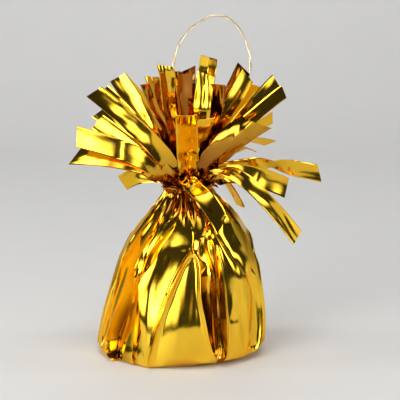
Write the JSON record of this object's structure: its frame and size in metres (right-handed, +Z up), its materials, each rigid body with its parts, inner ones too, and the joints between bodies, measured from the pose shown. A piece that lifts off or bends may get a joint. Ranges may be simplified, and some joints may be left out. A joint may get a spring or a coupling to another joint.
{
  "type": "balloon weight",
  "caption": "Gold foil balloon weight: pleated foil bag over a cast core, tied at the neck, with a spray of foil strips and a swinging wire loop for the ribbons.",
  "frame": {"origin": "centre of the resting face", "axes": "+Z up, the front of the object faces -Y, +X to the viewer's right"},
  "size_m": [0.0988, 0.0661, 0.1343],
  "materials": {
    "gold_film": "mirror-bright metallised film",
    "core_cement": "matt cast",
    "tie_wire": "bright",
    "loop_wire": "bright"
  },
  "bodies": {
    "weight": {"foil_wrap": "gold_film", "fringe_strip_01": "gold_film", "fringe_strip_02": "gold_film", "fringe_strip_03": "gold_film", "fringe_strip_04": "gold_film", "fringe_strip_05": "gold_film", "fringe_strip_06": "gold_film", "fringe_strip_07": "gold_film", "fringe_strip_08": "gold_film", "fringe_strip_09": "gold_film", "fringe_strip_10": "gold_film", "fringe_strip_11": "gold_film", "fringe_strip_12": "gold_film", "fringe_strip_13": "gold_film", "fringe_strip_14": "gold_film", "fringe_strip_15": "gold_film", "fringe_strip_16": "gold_film", "fringe_strip_17": "gold_film", "fringe_strip_18": "gold_film", "fringe_strip_19": "gold_film", "fringe_strip_20": "gold_film", "fringe_strip_21": "gold_film", "fringe_strip_22": "gold_film", "fringe_strip_23": "gold_film", "fringe_strip_24": "gold_film", "fringe_strip_25": "gold_film", "fringe_strip_26": "gold_film", "fringe_strip_27": "gold_film", "fringe_strip_28": "gold_film", "fringe_strip_29": "gold_film", "fringe_strip_30": "gold_film", "fringe_strip_31": "gold_film", "neck_tie": "tie_wire", "tuft_strip_01": "gold_film", "tuft_strip_02": "gold_film", "tuft_strip_03": "gold_film", "tuft_strip_04": "gold_film", "tuft_strip_05": "gold_film", "tuft_strip_06": "gold_film", "tuft_strip_07": "gold_film", "tuft_strip_08": "gold_film", "tuft_strip_09": "gold_film", "tuft_strip_10": "gold_film", "tuft_strip_11": "gold_film", "tuft_strip_12": "gold_film", "tuft_strip_13": "gold_film", "tuft_strip_14": "gold_film", "weight_core": "core_cement"},
    "loop": {"hanging_loop": "loop_wire"}
  },
  "joints": [
    {"name": "loop_swing", "type": "hinge", "parent": "weight", "child": "loop", "pos_m": [0.0034, 0.00885, 0.067], "axis": [1, 0, 0], "range_deg": [-40, 3]}
  ]
}
